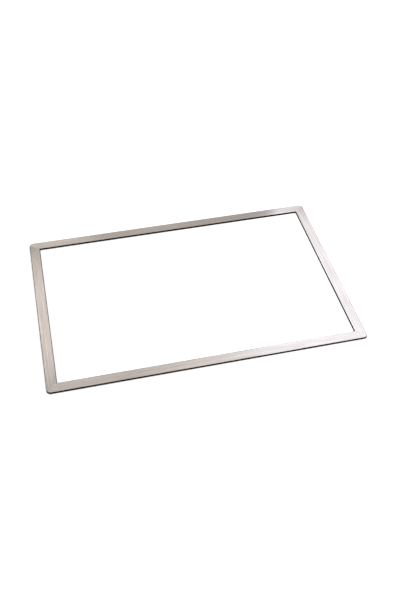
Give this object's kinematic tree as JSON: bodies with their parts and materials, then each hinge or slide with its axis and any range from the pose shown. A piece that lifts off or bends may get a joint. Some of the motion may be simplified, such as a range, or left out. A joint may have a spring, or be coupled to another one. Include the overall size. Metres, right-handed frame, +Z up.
{
  "type": "baking frame",
  "caption": "Flat rectangular stainless steel frame of mitred and welded bars, laid on a baking sheet to spread an even layer.",
  "frame": {"origin": "on the underside, in the middle of the opening, which is the bottom centre of the whole frame", "axes": "+X along the long sides to the right, +Y along the short sides away from the viewer, +Z up through the thickness"},
  "size_m": [0.6, 0.4, 0.004],
  "materials": {
    "bar_steel": "hairline brushed along the bar, warm light grey, with darker mill edges",
    "weld_steel": "ground flush and linished, slightly finer than the bars"
  },
  "bodies": {
    "root": {"front_bar": "bar_steel", "right_bar": "bar_steel", "back_bar": "bar_steel", "left_bar": "bar_steel", "front_right_weld": "weld_steel", "back_right_weld": "weld_steel", "back_left_weld": "weld_steel", "front_left_weld": "weld_steel"}
  },
  "joints": []
}
